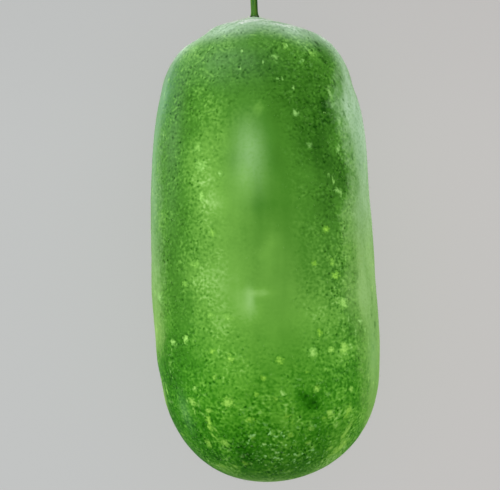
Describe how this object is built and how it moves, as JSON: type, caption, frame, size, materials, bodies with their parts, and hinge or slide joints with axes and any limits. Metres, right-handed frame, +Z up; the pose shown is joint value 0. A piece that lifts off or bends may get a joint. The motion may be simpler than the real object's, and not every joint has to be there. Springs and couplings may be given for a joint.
{
  "type": "ash gourd",
  "caption": "Oblong ash gourd with a waxy, finely netted and flecked green skin, picked with its cut ridged stem and lying on its side on a small flat spot.",
  "frame": {"origin": "on the surface that the gourd lies on, in the flat spot under its balance point", "axes": "+Y along the fruit towards the stem, +Z up away from the surface, +X towards the side that bellies out"},
  "size_m": [0.1869, 0.425, 0.1799],
  "materials": {
    "gourd_skin": "waxy green rind, finely netted, with pale flecks and short hairs",
    "stem_green": "matt, ridged and hairy green stalk"
  },
  "bodies": {
    "root": {"fruit": "gourd_skin", "stem": "stem_green"}
  },
  "joints": []
}
